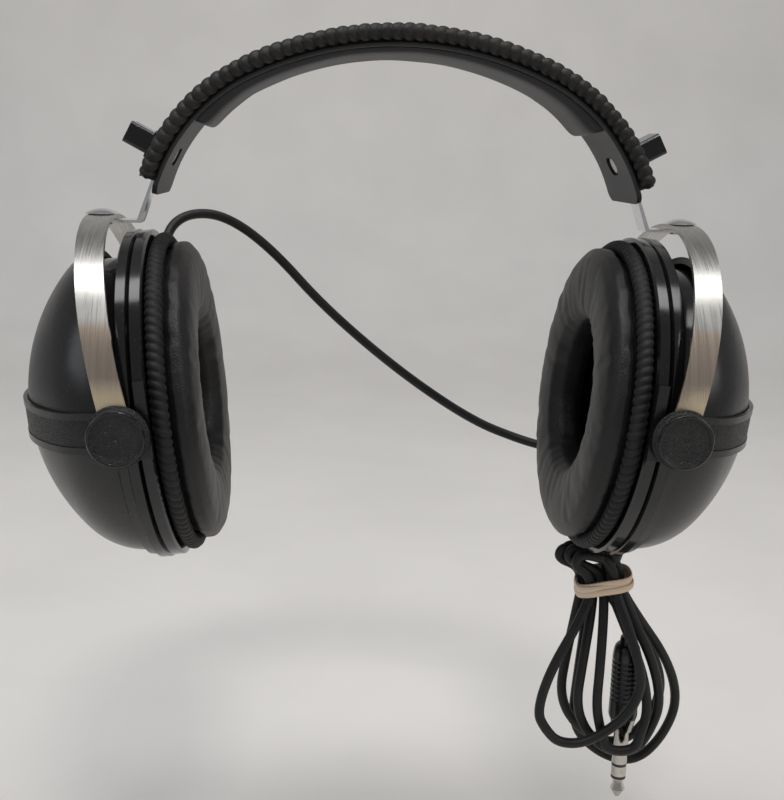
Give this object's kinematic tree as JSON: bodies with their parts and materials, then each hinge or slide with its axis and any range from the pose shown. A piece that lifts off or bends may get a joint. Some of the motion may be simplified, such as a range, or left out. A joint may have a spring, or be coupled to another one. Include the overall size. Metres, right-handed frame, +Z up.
{
  "type": "stereo headphones",
  "caption": "Over-ear stereo headphones with round domed cups, strip yokes on sliding band ends, a laced padded band and a tied cord with a phone plug.",
  "frame": {"origin": "middle of the crown pad's underside, where the band rests on the head", "axes": "+X towards the wearer's left, +Y to the back of the head, +Z up"},
  "size_m": [0.2736, 0.1487, 0.3096],
  "materials": {
    "cover_vinyl": "satin black vinyl",
    "lacing_cord": "matte black lacing",
    "liner_leatherette": "matte dark grey leatherette",
    "spring_steel": "blued spring steel",
    "chrome_plate": "bright chrome",
    "yoke_steel": "brushed lengthwise, aged near the ends",
    "gloss_black": "gloss black",
    "satin_black": "satin black",
    "grain_black": "leather grain black",
    "cushion_leatherette": "soft creased black leatherette",
    "welt_braid": "ruched black braid",
    "guide_nylon": "natural nylon",
    "screw_steel": "zinc plated",
    "baffle_board": "matte black",
    "cone_paper": "treated paper",
    "frame_steel": "pressed steel",
    "magnet_ferrite": "ferrite",
    "damping_felt": "grey felt",
    "cord_rubber": "matte black rubber",
    "tie_rubber": "tan rubber",
    "plug_nickel": "nickel plated",
    "plug_insulation": "black insulator"
  },
  "bodies": {
    "headband": {"outer_cover": "cover_vinyl", "spring_band": "spring_steel", "inner_liner": "liner_leatherette", "crown_pad": "liner_leatherette", "edge_lacing_front": "lacing_cord", "edge_lacing_rear": "lacing_cord", "slider_guide_left": "guide_nylon", "adjuster_knob_left": "gloss_black", "knob_screw_left": "screw_steel", "slider_guide_right": "guide_nylon", "adjuster_knob_right": "gloss_black", "knob_screw_right": "screw_steel"},
    "slider_left": {"slider_strip_left": "chrome_plate", "yoke_rivet_left": "chrome_plate"},
    "yoke_left": {"yoke_left": "yoke_steel"},
    "cup_left": {"cup_shell_left": "satin_black", "trim_band_left": "satin_black", "band_insert_left": "grain_black", "clamp_ring_left": "gloss_black", "cushion_ring_left": "gloss_black", "baffle_plate_left": "baffle_board", "driver_frame_left": "frame_steel", "driver_cone_left": "cone_paper", "driver_magnet_left": "magnet_ferrite", "damping_foam_left": "damping_felt", "cushion_welt_left": "welt_braid", "ear_cushion_left": "cushion_leatherette", "pivot_blocks_left": "satin_black", "pivot_screws_left": "screw_steel", "pivot_caps_left": "grain_black", "link_gland_left": "cord_rubber", "cord_gland": "cord_rubber", "cord_hank": "cord_rubber", "rubber_band_tie": "tie_rubber", "plug_handle": "satin_black", "plug_collar": "plug_nickel", "plug_sleeve": "plug_nickel", "plug_insulators": "plug_insulation", "plug_ring": "plug_nickel", "plug_tip": "plug_nickel", "link_cord": "cord_rubber"},
    "slider_right": {"slider_strip_right": "chrome_plate", "yoke_rivet_right": "chrome_plate"},
    "yoke_right": {"yoke_right": "yoke_steel"},
    "cup_right": {"cup_shell_right": "satin_black", "trim_band_right": "satin_black", "band_insert_right": "grain_black", "clamp_ring_right": "gloss_black", "cushion_ring_right": "gloss_black", "baffle_plate_right": "baffle_board", "driver_frame_right": "frame_steel", "driver_cone_right": "cone_paper", "driver_magnet_right": "magnet_ferrite", "damping_foam_right": "damping_felt", "cushion_welt_right": "welt_braid", "ear_cushion_right": "cushion_leatherette", "pivot_blocks_right": "satin_black", "pivot_screws_right": "screw_steel", "pivot_caps_right": "grain_black", "link_gland_right": "cord_rubber"}
  },
  "joints": [
    {"name": "extend_left", "type": "hinge", "parent": "headband", "child": "slider_left", "pos_m": [0.02471, 0, -0.06647], "axis": [0, 1, 0], "range_deg": [0, 16]},
    {"name": "swivel_left", "type": "hinge", "parent": "slider_left", "child": "yoke_left", "pos_m": [0.10754, 0, -0.0577], "axis": [0, 0, 1], "range_deg": [-20, 20]},
    {"name": "tilt_left", "type": "hinge", "parent": "yoke_left", "child": "cup_left", "pos_m": [0.0928, 0, -0.125], "axis": [0, 1, 0], "range_deg": [-10, 10], "deforming": ["link_cord"]},
    {"name": "extend_right", "type": "hinge", "parent": "headband", "child": "slider_right", "pos_m": [-0.02471, 0, -0.06647], "axis": [0, -1, 0], "range_deg": [0, 16]},
    {"name": "swivel_right", "type": "hinge", "parent": "slider_right", "child": "yoke_right", "pos_m": [-0.10754, 0, -0.0577], "axis": [0, 0, 1], "range_deg": [-20, 20]},
    {"name": "tilt_right", "type": "hinge", "parent": "yoke_right", "child": "cup_right", "pos_m": [-0.0928, 0, -0.125], "axis": [0, -1, 0], "range_deg": [-10, 10]}
  ]
}
